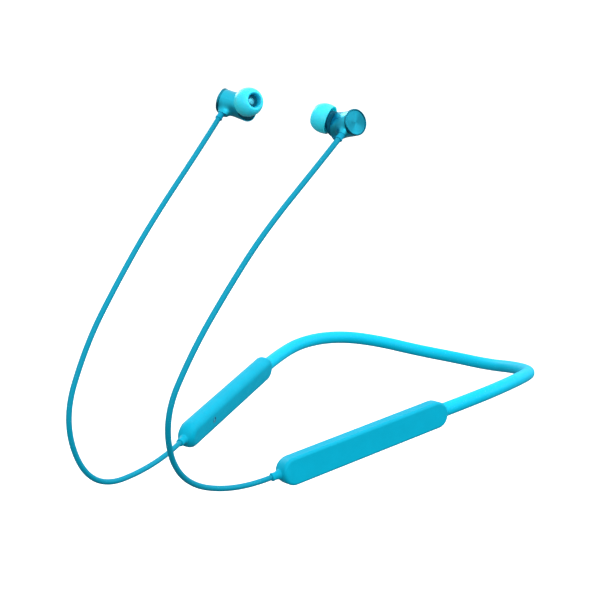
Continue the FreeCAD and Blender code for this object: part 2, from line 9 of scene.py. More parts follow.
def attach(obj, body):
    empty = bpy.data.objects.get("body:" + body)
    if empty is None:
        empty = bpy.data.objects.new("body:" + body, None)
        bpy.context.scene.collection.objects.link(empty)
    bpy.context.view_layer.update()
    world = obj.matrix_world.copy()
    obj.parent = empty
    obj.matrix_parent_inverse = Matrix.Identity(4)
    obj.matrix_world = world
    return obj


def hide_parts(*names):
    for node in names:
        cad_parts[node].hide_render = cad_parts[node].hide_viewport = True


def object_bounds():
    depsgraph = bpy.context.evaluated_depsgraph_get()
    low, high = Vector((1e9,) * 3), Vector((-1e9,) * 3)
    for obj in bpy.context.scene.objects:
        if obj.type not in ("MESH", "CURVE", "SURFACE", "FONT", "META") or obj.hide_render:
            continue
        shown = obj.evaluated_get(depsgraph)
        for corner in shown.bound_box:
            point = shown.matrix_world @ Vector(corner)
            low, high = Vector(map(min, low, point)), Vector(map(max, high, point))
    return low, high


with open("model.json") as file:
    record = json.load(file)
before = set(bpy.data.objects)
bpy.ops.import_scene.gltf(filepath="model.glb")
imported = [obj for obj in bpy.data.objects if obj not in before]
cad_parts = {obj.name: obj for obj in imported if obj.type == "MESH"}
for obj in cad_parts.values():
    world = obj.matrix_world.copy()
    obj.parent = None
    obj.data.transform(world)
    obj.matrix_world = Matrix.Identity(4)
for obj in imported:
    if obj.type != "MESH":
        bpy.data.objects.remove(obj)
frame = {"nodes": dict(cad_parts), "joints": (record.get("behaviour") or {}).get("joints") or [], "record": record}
cad_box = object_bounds()

# Neckband earphones as they are worn. Lengths below are millimetres unless a name says otherwise;
# meshes are made in metres, in local frames like those of the CAD part.

MM = 0.001
record = frame["record"]
mounts = {mount["name"]: mount for mount in record["mounts"]}
joints = {joint["name"]: joint for joint in frame["joints"]}

# ---------------- driving sizes, the CAD part's wherever it has them ----------------
CORD_DIAMETER = 2.4
BAND_RADIUS = 3.2
LEFT_CORD = (
    (26.5, -198.0, 2.8), (21.5, -215.0, 0.7), (20.7, -248.2, 14.6), (27.0, -262.0, 46.0),
    (27.9, -245.7, 70.0), (28.5, -226.0, 90.0), (29.5, -204.9, 109.5), (32.84, -173.27, 133.48),
    (33.43, -162.34, 141.39),
)
RIGHT_CORD = (
    (-27.6, -196.4, 5.0), (-21.4, -217.7, 2.4), (-21.9, -254.2, 2.3), (-25.6, -265.6, 33.0),
    (-26.5, -250.5, 63.0), (-27.5, -230.5, 85.5), (-30.4, -207.2, 106.3), (-32.35, -172.2, 135.1),
    (-33.25, -161.35, 144.42),
)
BAND_ROUTE = (
    (58.7, -86.0, 15.8), (60.3, -62.2, 16.2), (56.7, -39.2, 13.9), (47.6, -19.2, 9.0),
    (30.6, -3.7, 4.1), (10.3, BAND_RADIUS, 0.0), (-10.3, BAND_RADIUS, 0.0),
    (-30.3, -4.4, 2.2), (-46.8, -19.2, 8.0), (-56.4, -38.8, 13.2), (-60.2, -61.1, 15.8),
    (-58.9, -84.4, 15.7),
)
BAND_INSERT = 4.0
LEFT_BACK = (53.0, -108.0, 13.8)
RIGHT_BACK = (-53.0, -105.8, 14.1)
MODULE_LEAN = 6.0
MODULE_HEIGHT = 12.2
MODULE_DEPTH = 8.2
MODULE_END_ROUND = 6.0
LEFT_EDGE_ROUNDS = (2.6, 1.3)
RIGHT_EDGE_ROUNDS = (3.4, 3.4)
BODY_FRONT = 4.2
RELIEF_RADIUS = 1.85
LENS_SPOT = (27.0, 0.4)
LENS_RADIUS = 1.45
BUTTON_SPOTS = {"volume_up_button": 34.0, "call_button": 46.0, "volume_down_button": 58.0}
BUTTON_PROUD = 0.55
BUD_BACK_RADIUS = 5.6
BUD_RIM_MIDDLE = 5.18
BARREL_BACK = 1.3
BARREL_WAIST_RADIUS = 5.25
BARREL_FRONT = 12.6
BARREL_FRONT_RADIUS = 5.8
SHOULDER_TILT = 28.0
NOZZLE_SWING = 8.0
NOZZLE_ROOT = 8.1
CORD_EXIT_ALONG = 3.6
CORD_EXIT_OUT = 10.0
BOSS_OUT = 7.2
BOSS_FOOT = 2.0
BOSS_TOP_RADIUS = 1.75
BOSS_SPREAD = 3.3
BOSS_TAPER = 0.55             # how fast the boss falls off towards the ear, against the other ways
GRILLE_BACK = 11.1
TIP_PAINTED_SHADE_FADE = (3.1, 3.9)    # radii between which the tip turns from the painted shade of its core and mouth to its skirt's own colour
RELIEF_NECK_RADIUS = 1.72
NOSE_FLARE = (2.25, 9.2)      # where the strain relief starts to widen, and where the module is full
NOSE_PROUD = 0.02             # the Blender nose stands this far off the CAD shell


# ---------------- camera ----------------
CAMERA_AZIMUTH = 38.61
CAMERA_ELEVATION = 14.71
CAMERA_SPOT = (376.99, -617.63, 223.13)
CAMERA_LENS = 83.78
SENSOR_WIDTH = 36.0


def heading(azimuth, elevation):
    """Unit vector towards this azimuth and elevation, in degrees."""
    a, e = math.radians(azimuth), math.radians(elevation)
    return Vector((math.sin(a) * math.cos(e), -math.cos(a) * math.cos(e), math.sin(e)))


def look_back(thing, out):
    """Turn a camera or lamp to look back against this direction."""
    thing.rotation_mode = "QUATERNION"
    thing.rotation_quaternion = (-out).to_track_quat("-Z", "Y")


def make_camera():
    data = bpy.data.cameras.new("camera")
    data.sensor_width = SENSOR_WIDTH
    data.lens = CAMERA_LENS
    camera = bpy.data.objects.new("camera", data)
    bpy.context.scene.collection.objects.link(camera)
    camera.location = Vector(CAMERA_SPOT) * MM
    look_back(camera, heading(CAMERA_AZIMUTH, CAMERA_ELEVATION))
    bpy.context.scene.camera = camera


# ---------------- cords and neckband ----------------
def smooth_line(name, points, radius):
    """A NURBS tube with these control points, in millimetres."""
    data = bpy.data.curves.new(name, "CURVE")
    data.dimensions = "3D"
    data.bevel_depth = radius * MM
    data.bevel_resolution = 8
    data.use_fill_caps = True
    spline = data.splines.new("NURBS")
    spline.points.add(len(points) - 1)
    for spot, point in zip(spline.points, points):
        spot.co = (*(Vector(point) * MM), 1.0)
    spline.order_u = 3
    spline.use_endpoint_u = True
    spline.resolution_u = 24
    piece = bpy.data.objects.new(name, data)
    bpy.context.scene.collection.objects.link(piece)
    return piece


def make_cords():
    for side, route in (("left", LEFT_CORD), ("right", RIGHT_CORD)):
        cord = smooth_line(side + "_cord_jacket", route, CORD_DIAMETER / 2)
        cord.data.materials.append(paint["cord_jacket"])
        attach(cord, "root")
        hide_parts(side + "_ear_cord")


def make_band(left_module, right_module):
    ends = []
    for module, back in ((left_module, LEFT_BACK), (right_module, RIGHT_BACK)):
        ends.append(Vector(back) - module.to_3x3().col[0] * BAND_INSERT)
    band = smooth_line("neckband_skin", [ends[0], *BAND_ROUTE, ends[1]], BAND_RADIUS)
    band.data.bevel_resolution = 16
    band.data.materials.append(paint["band_silicone"])
    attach(band, "root")
    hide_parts("neckband_sleeve")


# ---------------- local frames ----------------
def local_frame(origin, x_axis, y_axis):
    """Object matrix with this origin in millimetres and these two axes."""
    z_axis = x_axis.cross(y_axis)
    matrix = Matrix((x_axis, y_axis, z_axis)).transposed().to_4x4()
    matrix.translation = Vector(origin) * MM
    return matrix


def module_frame(front, back, inward):
    lean = math.radians(MODULE_LEAN)
    way = (Vector(back) - Vector(front)).normalized()
    up = Vector((inward * math.sin(lean), 0, math.cos(lean)))
    return local_frame(front, way, up.cross(way).normalized())


def bud_frame(side):
    mount = mounts[side + "_bud_back"]
    forward = -Vector(mount["axis"]).normalized()
    nozzle = Vector(joints[side + "_ear_tip_pull"]["axis"]).normalized()
    lean = (nozzle - forward * nozzle.dot(forward)).normalized()
    swing = math.radians(NOZZLE_SWING) * cord_sign(side)
    y_axis = Matrix.Rotation(-swing, 3, forward) @ lean
    origin = Vector(mount["pos_m"]) / MM - y_axis * BUD_RIM_MIDDLE
    return local_frame(origin, forward, y_axis)


def cord_sign(side):
    """The cord leaves a bud on this side of its local z."""
    return 1 if side == "right" else -1


def tip_frame(side):
    bud = bud_frame(side)
    nozzle = Vector(joints[side + "_ear_tip_pull"]["axis"]).normalized()
    side_way = nozzle.cross(bud.to_3x3().col[0]).normalized()
    root = bud.translation / MM + bud.to_3x3().col[0] * NOZZLE_ROOT
    return local_frame(root, nozzle, side_way)


def turned_about(base, spot, axis):
    """A frame at a spot of another one, its x along the given local axis."""
    turn = base.to_3x3()
    x_axis = (turn @ Vector(axis)).normalized()
    other = turn.col[0] if abs(x_axis.dot(turn.col[0])) < 0.9 else turn.col[2]
    return local_frame(base @ (Vector(spot) * MM) / MM, x_axis, x_axis.cross(other).normalized())


# ---------------- mesh helpers ----------------
def eased(corners, steps=6):
    """An outline of (x, r, rounding) corners, each rounded off over that length."""
    line = []
    for i, (x, r, rounding) in enumerate(corners):
        corner = Vector((x, r))
        if rounding == 0 or i in (0, len(corners) - 1):
            line.append(corner)
            continue
        before = Vector(corners[i - 1][:2])
        after = Vector(corners[i + 1][:2])
        start = corner + (before - corner).normalized() * rounding
        end = corner + (after - corner).normalized() * rounding
        for k in range(steps + 1):
            t = k / steps
            line.append(start * (1 - t) ** 2 + corner * 2 * t * (1 - t) + end * t * t)
    return line


def flowing(points, steps=6):
    """A smooth line through these points."""
    spots = [Vector(p) for p in points]
    spots = [spots[0] * 2 - spots[1], *spots, spots[-1] * 2 - spots[-2]]
    line = []
    for a, b, c, d in zip(spots, spots[1:], spots[2:], spots[3:]):
        for k in range(steps):
            t = k / steps
            line.append(
                (b * 2 + (c - a) * t + (a * 2 - b * 5 + c * 4 - d) * t * t
                 + (b * 3 - a - c * 3 + d) * t ** 3) / 2
            )
    return line + [spots[-2]]


def new_piece(name, mesh, place, body, material, smooth_angle=35):
    mesh.shade_smooth()
    mesh.set_sharp_from_angle(angle=math.radians(smooth_angle))
    piece = bpy.data.objects.new(name, mesh)
    bpy.context.scene.collection.objects.link(piece)
    piece.matrix_world = place
    piece.data.materials.append(paint[material])
    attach(piece, body)
    return piece


def skin(name, rings, closed_along=False, capped=True):
    """A mesh from rings of points in millimetres; every ring has the same count."""
    bm = bmesh.new()
    rows = [[bm.verts.new(Vector(p) * MM) for p in ring] for ring in rings]
    count = len(rows[0])
    pairs = list(zip(rows, rows[1:]))
    if closed_along:
        pairs.append((rows[-1], rows[0]))
    for low, high in pairs:
        for k in range(count):
            n = (k + 1) % count
            bm.faces.new((low[k], low[n], high[n], high[k]))
    if capped and not closed_along:
        bm.faces.new(rows[0][::-1])
        bm.faces.new(rows[-1])
    bmesh.ops.remove_doubles(bm, verts=bm.verts, dist=1e-7)
    bmesh.ops.recalc_face_normals(bm, faces=bm.faces)
    mesh = bpy.data.meshes.new(name)
    bm.to_mesh(mesh)
    bm.free()
    return mesh


def ring_angles(count):
    return [math.tau * k / count for k in range(count)]


def circle_at(x, r, count):
    """Points of a circle about the local x axis."""
    return [(x, r * math.cos(a), r * math.sin(a)) for a in ring_angles(count)]


def turned(name, outline, segments=128, closed_along=False):
    """A body of revolution about the local x axis."""
    rings = [circle_at(x, r, segments) for x, r in outline]
    return skin(name, rings, closed_along, capped=False)


def furthest(inside, limit, steps=30):
    """The largest distance below a limit that is still inside, found by halving."""
    low, high = 0.0, limit
    for _ in range(steps):
        middle = (low + high) / 2
        low, high = (middle, high) if inside(middle) else (low, middle)
    return low


def smooth_max(a, b, softness):
    return (a + b + math.sqrt((a - b) ** 2 + softness ** 2)) / 2


def step_between(low, high, value):
    t = min(max((value - low) / (high - low), 0), 1)
    return t * t * (3 - 2 * t)


# ---------------- materials ----------------
# Colours are linear. Noise scales count features in a metre, so 1000 is about one to a millimetre.

def new_material(name):
    material = bpy.data.materials.new(name)
    material.use_nodes = True
    tree = material.node_tree
    shader = next(n for n in tree.nodes if n.type == "BSDF_PRINCIPLED")
    return material, tree, shader


def coordinates(tree):
    return tree.nodes.new("ShaderNodeTexCoord").outputs["Object"]


def noise(tree, where, scale, detail=3.0, roughness=0.55):
    node = tree.nodes.new("ShaderNodeTexNoise")
    node.inputs["Scale"].default_value = scale
    node.inputs["Detail"].default_value = detail
    node.inputs["Roughness"].default_value = roughness
    tree.links.new(where, node.inputs["Vector"])
    return node.outputs["Fac"]


def spread(tree, value, low, high, from_low=0.3, from_high=0.7):
    node = tree.nodes.new("ShaderNodeMapRange")
    node.inputs["From Min"].default_value = from_low
    node.inputs["From Max"].default_value = from_high
    node.inputs["To Min"].default_value = low
    node.inputs["To Max"].default_value = high
    tree.links.new(value, node.inputs["Value"])
    return node.outputs["Result"]


def blended(tree, value, first, second):
    node = tree.nodes.new("ShaderNodeMix")
    node.data_type = "RGBA"
    node.inputs["A"].default_value = (*first, 1)
    node.inputs["B"].default_value = (*second, 1)
    tree.links.new(value, node.inputs["Factor"])
    return node.outputs["Result"]


def coloured(tree, shader, value, first, second):
    """Base colour that goes from the first colour to the second as the value rises."""
    tree.links.new(blended(tree, value, first, second), shader.inputs["Base Color"])


def roughened(tree, shader, value, low, high):
    tree.links.new(spread(tree, value, low, high), shader.inputs["Roughness"])


def darker(colour, share):
    return tuple(c * share for c in colour)


def bumped(tree, shader, heights, depth):
    """Heights are (value, strength) pairs laid over each other; depth is in metres."""
    last = None
    for value, strength in heights:
        node = tree.nodes.new("ShaderNodeBump")
        node.inputs["Strength"].default_value = strength
        node.inputs["Distance"].default_value = depth
        tree.links.new(value, node.inputs["Height"])
        if last is not None:
            tree.links.new(last, node.inputs["Normal"])
        last = node.outputs["Normal"]
    tree.links.new(last, shader.inputs["Normal"])


def waves(tree, where, scale, direction, kind="BANDS"):
    node = tree.nodes.new("ShaderNodeTexWave")
    node.wave_type = kind
    if kind == "BANDS":
        node.bands_direction = direction
    else:
        node.rings_direction = direction
    node.inputs["Scale"].default_value = scale
    node.inputs["Detail"].default_value = 1.0
    tree.links.new(where, node.inputs["Vector"])
    return node.outputs["Fac"]


def soft_plastic(name, colour, rough=0.5, grain=2600):
    """Moulded plastic, rubber or lacquer: mottled colour, uneven gloss, fine grain and a slight swell."""
    material, tree, shader = new_material(name)
    where = coordinates(tree)
    mottle = noise(tree, where, 120, 4)
    coloured(tree, shader, spread(tree, mottle, 0, 1), darker(colour, 0.93), colour)
    roughened(tree, shader, noise(tree, where, 340, 3), rough - 0.06, rough + 0.07)
    fine = noise(tree, where, grain, 2)
    swell = noise(tree, where, 420, 2)
    bumped(tree, shader, [(fine, 0.35), (swell, 0.12)], 0.00002)
    shader.inputs["Specular IOR Level"].default_value = 0.06
    return material


def jacket(name, colour):
    """Extruded silicone: slight unevenness, fine matt grain and specks of dust."""
    material, tree, shader = new_material(name)
    where = coordinates(tree)
    mottle = noise(tree, where, 90, 3)
    dust = spread(tree, noise(tree, where, 1500, 1), 0, 0.10, 0.66, 0.74)
    body = blended(tree, spread(tree, mottle, 0, 1), darker(colour, 0.94), colour)
    pale = tree.nodes.new("ShaderNodeMix")
    pale.data_type = "RGBA"
    pale.inputs["B"].default_value = (0.35, 0.75, 0.85, 1)
    tree.links.new(dust, pale.inputs["Factor"])
    tree.links.new(body, pale.inputs["A"])
    tree.links.new(pale.outputs["Result"], shader.inputs["Base Color"])
    roughened(tree, shader, noise(tree, where, 260), 0.37, 0.50)
    bumped(tree, shader, [(noise(tree, where, 3200, 2), 0.25), (noise(tree, where, 300, 2), 0.1)], 0.00002)
    shader.inputs["Specular IOR Level"].default_value = 0.08
    return material


def turned_metal(name, colour, rough, kind="BANDS", anisotropy=0.5, line_scale=2400, line_strength=0.04):
    """Turned and anodised aluminium, its brushing running round local x."""
    material, tree, shader = new_material(name)
    where = coordinates(tree)
    cloud = noise(tree, where, 300, 3)
    coloured(tree, shader, spread(tree, cloud, 0, 1), darker(colour, 0.96), colour)
    roughened(tree, shader, noise(tree, where, 900), rough - 0.01, rough + 0.02)
    lines = waves(tree, where, line_scale, "X", kind)
    grain = noise(tree, where, 5200, 1)
    bumped(tree, shader, [(lines, line_strength), (grain, 0.02)], 0.00001)
    round_way = tree.nodes.new("ShaderNodeVectorMath")
    round_way.operation = "CROSS_PRODUCT"
    round_way.inputs[0].default_value = (1, 0, 0)
    tree.links.new(where, round_way.inputs[1])
    turn = tree.nodes.new("ShaderNodeVectorTransform")
    turn.convert_from = "OBJECT"
    turn.convert_to = "WORLD"
    tree.links.new(round_way.outputs["Vector"], turn.inputs["Vector"])
    tree.links.new(turn.outputs["Vector"], shader.inputs["Tangent"])
    shader.inputs["Metallic"].default_value = 1.0
    shader.inputs["Anisotropic"].default_value = anisotropy
    shader.inputs["Coat Weight"].default_value = 0.1
    shader.inputs["Coat Roughness"].default_value = 0.12
    return material


def tip_silicone():
    """Translucent silicone, darker in the core and mouth as painted shade for the shadow seen through the skin and
    into the opening, with a faint grain.
    """
    material, tree, shader = new_material("tip_silicone")
    where = coordinates(tree)
    cloud = noise(tree, where, 220, 3)
    skirt = blended(tree, spread(tree, cloud, 0, 1), (0.03, 0.70, 0.95), (0.05, 0.76, 0.98))
    across = tree.nodes.new("ShaderNodeVectorMath")
    across.operation = "MULTIPLY"
    across.inputs[1].default_value = (0, 1, 1)
    tree.links.new(where, across.inputs[0])
    away = tree.nodes.new("ShaderNodeVectorMath")
    away.operation = "LENGTH"
    tree.links.new(across.outputs["Vector"], away.inputs[0])
    inner, outer = TIP_PAINTED_SHADE_FADE
    core = spread(tree, away.outputs["Value"], 0, 1, inner * MM, outer * MM)
    colour = tree.nodes.new("ShaderNodeMix")
    colour.data_type = "RGBA"
    # painted shade: the core and mouth get this darker cyan in place of the shadow inside the opening and through
    # the translucent skin
    colour.inputs["A"].default_value = (0.005, 0.42, 0.62, 1)
    tree.links.new(skirt, colour.inputs["B"])
    tree.links.new(core, colour.inputs["Factor"])
    tree.links.new(colour.outputs["Result"], shader.inputs["Base Color"])
    roughened(tree, shader, noise(tree, where, 500), 0.28, 0.4)
    bumped(tree, shader, [(noise(tree, where, 2600, 2), 0.15)], 0.00002)
    shader.inputs["Subsurface Weight"].default_value = 0.7
    shader.inputs["Subsurface Radius"].default_value = (0.0006, 0.002, 0.002)
    shader.inputs["Subsurface Scale"].default_value = 1.0
    shader.inputs["Specular IOR Level"].default_value = 0.25
    return material


def plain_metal(name, colour, rough=0.32, grain=1800):
    """Stamped or plated metal with a fine uneven finish."""
    material, tree, shader = new_material(name)
    finish = noise(tree, coordinates(tree), grain, 4)
    coloured(tree, shader, spread(tree, finish, 0, 1), darker(colour, 0.82), colour)
    roughened(tree, shader, finish, rough - 0.08, rough + 0.1)
    bumped(tree, shader, [(finish, 0.15)], 0.00001)
    shader.inputs["Metallic"].default_value = 1.0
    return material


def foil_pouch():
    """Laminated battery pouch: crinkled foil."""
    material, tree, shader = new_material("battery_foil")
    where = coordinates(tree)
    crease = noise(tree, where, 500, 5, 0.65)
    coloured(tree, shader, spread(tree, crease, 0, 1), (0.55, 0.56, 0.58), (0.8, 0.81, 0.83))
    roughened(tree, shader, crease, 0.25, 0.5)
    bumped(tree, shader, [(crease, 0.6)], 0.0001)
    shader.inputs["Metallic"].default_value = 0.9
    return material


def circuit_board():
    """Green solder mask with lighter copper tracks under it."""
    material, tree, shader = new_material("circuit_board")
    where = coordinates(tree)
    tracks = tree.nodes.new("ShaderNodeTexVoronoi")
    tracks.distance = "MANHATTAN"
    tracks.feature = "DISTANCE_TO_EDGE"
    tracks.inputs["Scale"].default_value = 700
    tree.links.new(where, tracks.inputs["Vector"])
    line = spread(tree, tracks.outputs["Distance"], 1, 0, 0.03, 0.07)
    coloured(tree, shader, line, (0.006, 0.09, 0.035), (0.02, 0.2, 0.08))
    roughened(tree, shader, noise(tree, where, 800), 0.25, 0.4)
    bumped(tree, shader, [(line, 0.4)], 0.00003)
    return material


def glossy_plastic(name, colour, rough=0.3):
    """Moulded epoxy, ceramic or lens plastic: faint flow marks and a clear surface."""
    material, tree, shader = new_material(name)
    where = coordinates(tree)
    flow = noise(tree, where, 650, 3)
    coloured(tree, shader, spread(tree, flow, 0, 1), darker(colour, 0.85), colour)
    roughened(tree, shader, flow, rough - 0.05, rough + 0.08)
    bumped(tree, shader, [(noise(tree, where, 3000, 2), 0.2)], 0.00001)
    return material


def foam():
    """Open-celled black foam, darker at the bottom of its cells as painted shade."""
    material, tree, shader = new_material("foam")
    where = coordinates(tree)
    cells = tree.nodes.new("ShaderNodeTexVoronoi")
    cells.inputs["Scale"].default_value = 3200
    tree.links.new(where, cells.inputs["Vector"])
    depth = cells.outputs["Distance"]
    # painted shade: the colour is darkest where the cells sink deepest
    coloured(tree, shader, spread(tree, depth, 0, 1, 0, 0.6), (0.01, 0.01, 0.012), (0.05, 0.05, 0.055))
    shader.inputs["Roughness"].default_value = 0.95
    bumped(tree, shader, [(depth, 0.8)], 0.0001)
    return material


def wire_mesh():
    """Woven steel grille over the sound bore; its holes are painted dark as painted shade of the bore behind them,
    and the wires' pale teal is partly their own colour and partly a painted highlight.
    """
    material, tree, shader = new_material("nozzle_mesh")
    where = coordinates(tree)
    one = waves(tree, where, 1100, "Y")
    two = waves(tree, where, 1100, "Z")
    weave = tree.nodes.new("ShaderNodeMath")
    weave.operation = "MULTIPLY"
    tree.links.new(one, weave.inputs[0])
    tree.links.new(two, weave.inputs[1])
    weave_and_hole_shade = spread(tree, weave.outputs[0], 0, 1, 0.25, 0.45)
    # painted shade in the weave's holes, where the bore behind shows; the pale wire colour is partly a painted
    # highlight
    coloured(tree, shader, weave_and_hole_shade, (0.12, 0.70, 0.85), (0.01, 0.22, 0.34))
    shader.inputs["Metallic"].default_value = 0.8
    shader.inputs["Roughness"].default_value = 0.4
    bumped(tree, shader, [(weave_and_hole_shade, 0.7)], 0.00005)
    return material


BODY_COLOUR = (0.0003, 0.375, 0.56)
BAND_COLOUR = (0.0003, 0.50, 0.74)
CORD_COLOUR = (0.0003, 0.27, 0.41)
METAL_COLOUR = (0.014, 0.46, 0.64)
FACE_COLOUR = (0.006, 0.26, 0.38)
DARK_SHELL_COLOUR = (0.0006, 0.10, 0.17)
RIM_COLOUR = (0.003, 0.19, 0.28)

paint = {
    "module_shell": soft_plastic("module_shell", BODY_COLOUR, rough=0.46),
    "relief_rubber": soft_plastic("relief_rubber", (0.002, 0.33, 0.52), rough=0.5, grain=3200),
    "button_rubber": soft_plastic("button_rubber", (0.002, 0.36, 0.60), rough=0.55, grain=3600),
    "door_rubber": soft_plastic("door_rubber", (0.002, 0.37, 0.62), rough=0.56, grain=3600),
    "lead_insulation": soft_plastic("lead_insulation", (0.45, 0.02, 0.02), rough=0.4),
    "band_silicone": jacket("band_silicone", BAND_COLOUR),
    "cord_jacket": jacket("cord_jacket", CORD_COLOUR),
    "anodised_metal": turned_metal("anodised_metal", METAL_COLOUR, 0.36),
    "turned_face": turned_metal("turned_face", FACE_COLOUR, 0.34, "RINGS", 0.85, 1800, 0.0),
    "rim_metal": turned_metal("rim_metal", RIM_COLOUR, 0.25),
    # the front shells are metal under a dark lacquer, so they look like matt plastic
    "front_shell_metal": soft_plastic("front_shell_metal", DARK_SHELL_COLOUR, rough=0.5),
    "tip_silicone": tip_silicone(),
    "status_lens": glossy_plastic("status_lens", (0.0003, 0.17, 0.27), 0.45),
    "window_pane": glossy_plastic("window_pane", (0.0003, 0.36, 0.56), 0.4),
    "steel": plain_metal("steel", (0.6, 0.61, 0.63)),
    "magnet": plain_metal("magnet", (0.75, 0.75, 0.78), 0.18, grain=700),
    "battery_foil": foil_pouch(),
    "foam": foam(),
    "circuit_board": circuit_board(),
    "black_chip": glossy_plastic("black_chip", (0.012, 0.012, 0.014), 0.45),
    "ceramic": glossy_plastic("ceramic", (0.55, 0.48, 0.36), 0.4),
    "nozzle_mesh": wire_mesh(),
}


def paint_cad_nodes():
    """Every CAD node gets the material of its slot; the grilles get a weave."""
    for part in record["subparts"]:
        node = frame["nodes"][part["node"]]
        look = "nozzle_mesh" if part["node"].endswith("nozzle_mesh") else part["material_slot"]
        node.data.materials.clear()
        node.data.materials.append(paint[look])


# ---------------- modules ----------------
def pill_reach(x, angle, edge_rounds):
    """Distance from the module's axis to its rounded surface at this section and angle."""
    if x <= BODY_FRONT:
        return 0.0
    edge_round = edge_rounds[0] if math.cos(angle) > 0 else edge_rounds[1]
    flat = MODULE_DEPTH / 2 - edge_round
    ahead = x - BODY_FRONT

    def inside(r):
        y, z = abs(r * math.cos(angle)), abs(r * math.sin(angle))
        in_z = MODULE_HEIGHT / 2 - z
        if ahead < MODULE_END_ROUND and in_z < MODULE_END_ROUND:
            edge = MODULE_END_ROUND - math.hypot(MODULE_END_ROUND - ahead, MODULE_END_ROUND - in_z)
        else:
            edge = min(ahead, in_z)
        if edge <= 0:
            return False
        bend = edge_round - min(edge, edge_round)
        return y < flat + math.sqrt(edge_round ** 2 - bend ** 2)

    return furthest(inside, MODULE_HEIGHT)


def module_nose(side, place, edge_rounds):
    """Strain relief with a raised front rim, flaring smoothly into the module's rounded end."""
    relief = eased([
        (0.03, 0.0, 0), (0.03, 1.62, 0.15), (0.25, RELIEF_RADIUS, 0.12), (0.75, RELIEF_RADIUS, 0.12),
        (0.95, RELIEF_NECK_RADIUS, 0.1), (2.2, RELIEF_NECK_RADIUS, 0),
    ])
    count, steps = 128, 46
    rings = [circle_at(x, r, count) for x, r in relief]
    flare_start, flare_end = NOSE_FLARE
    for i in range(steps + 1):
        x = flare_start + (flare_end - flare_start) * i / steps
        softness = 1.5 * (1 - step_between(5.0, flare_end, x)) + 0.02
        start = step_between(flare_start, 3.4, x)
        neck = RELIEF_NECK_RADIUS + 0.5 * step_between(3.0, 5.0, x)
        ring = []
        for a in ring_angles(count):
            body = pill_reach(x, a, edge_rounds)
            flared = smooth_max(neck, body, softness)
            r = neck * (1 - start) + flared * start if body < neck else flared
            ring.append((x, (r + NOSE_PROUD) * math.cos(a), (r + NOSE_PROUD) * math.sin(a)))
        rings.append(ring)
    rings.append([(x - 0.15, y * 0.97, z * 0.97) for x, y, z in rings[-1]])
    mesh = skin(side + "_module_nose", rings, capped=False)
    piece = new_piece(side + "_module_nose", mesh, place, "root", "module_shell", 40)
    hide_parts(side + "_cord_relief")


def status_window(place):
    """Round light window in the body's colour, set in a dark groove."""
    x, z = LENS_SPOT
    spot = turned_about(place, (x, -MODULE_DEPTH / 2, z), (0, -1, 0))
    groove = eased([
        (-0.4, LENS_RADIUS, 0), (0.03, LENS_RADIUS, 0.05), (0.03, LENS_RADIUS - 0.2, 0.05),
        (-0.35, LENS_RADIUS - 0.35, 0.05), (-0.35, LENS_RADIUS - 0.75, 0),
    ])
    piece = new_piece("status_window", turned("status_window", groove, 64), spot, "root", "status_lens")
    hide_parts("status_lens")
    window = eased([(-0.35, LENS_RADIUS - 0.75, 0), (-0.06, LENS_RADIUS - 0.8, 0.08), (0.0, 0.0, 0)])
    pane = turned("status_window_pane", window, 64)
    new_piece("status_window_pane", pane, spot, "root", "window_pane")


def raised_bar(name, place, centre, length, width, height, across, body):
    """A stadium-shaped raised mark on a key, rounded at its top edge."""
    half = (length - width) / 2
    x0, y0, z0 = centre
    rings = []
    for lift, shrink in ((-0.1, 0), (height * 0.5, 0), (height * 0.9, 0.05), (height, 0.14)):
        ring = []
        for a in ring_angles(32):
            along = math.cos(a) * (width / 2 - shrink) + (half if math.cos(a) >= 0 else -half)
            side = math.sin(a) * (width / 2 - shrink)
            dx, dz = (side, along) if across else (along, side)
            ring.append((x0 + dx, y0 + lift, z0 + dz))
        rings.append(ring)
    return new_piece(name, skin(name, rings), place, body, "button_rubber")


def button_marks(place):
    top = MODULE_DEPTH / 2 + BUTTON_PROUD
    for name, x in BUTTON_SPOTS.items():
        if name == "call_button":
            spot = turned_about(place, (x, top, 0), (0, 1, 0))
            outline = eased([(-0.1, 0.75, 0), (0.1, 0.75, 0.06), (0.1, 0.45, 0.06), (-0.05, 0.0, 0)])
            new_piece("call_mark", turned("call_mark", outline, 48), spot, name, "button_rubber")
            continue
        raised_bar(name + "_mark", place, (x, top, 0), 1.8, 0.36, 0.09, False, name)
        if name == "volume_up_button":
            raised_bar(name + "_cross", place, (x, top, 0), 1.8, 0.36, 0.085, True, name)


# ---------------- ear buds ----------------
def back_disc(side, place):
    """Dark chamfered rim and a slightly dished face with very fine turning grooves."""
    rim = BUD_BACK_RADIUS
    outline = eased([
        (2.5, 0.0, 0), (2.5, 4.1, 0), (BARREL_BACK, 4.1, 0), (BARREL_BACK, rim - 0.34, 0),
        (0.95, rim - 0.02, 0.15), (0.3, rim - 0.02, 0.12), (0.02, rim - 0.26, 0.1),
        (0.02, rim - 0.52, 0.06), (0.36, rim - 0.66, 0.04), (0.42, rim - 0.74, 0),
    ])
    name = side + "_back_rim"
    piece = new_piece(name, turned(name, outline), place, "root", "rim_metal", 30)
    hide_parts(side + "_back_cap")
    face_radius = rim - 0.74
    grooves, groove_height, dish_depth = 22, 0.002, 0.10
    line = []
    for i in range(grooves * 4 + 1):
        r = face_radius * (1 - i / (grooves * 4))
        ripple = groove_height * math.cos(i * math.pi / 2) * min(1.0, r)
        dish = dish_depth * (1 - (r / face_radius) ** 2)
        line.append((0.42 + dish + ripple, r))
    new_piece(side + "_back_face", turned(side + "_back_face", line), place, "root", "turned_face", 60)


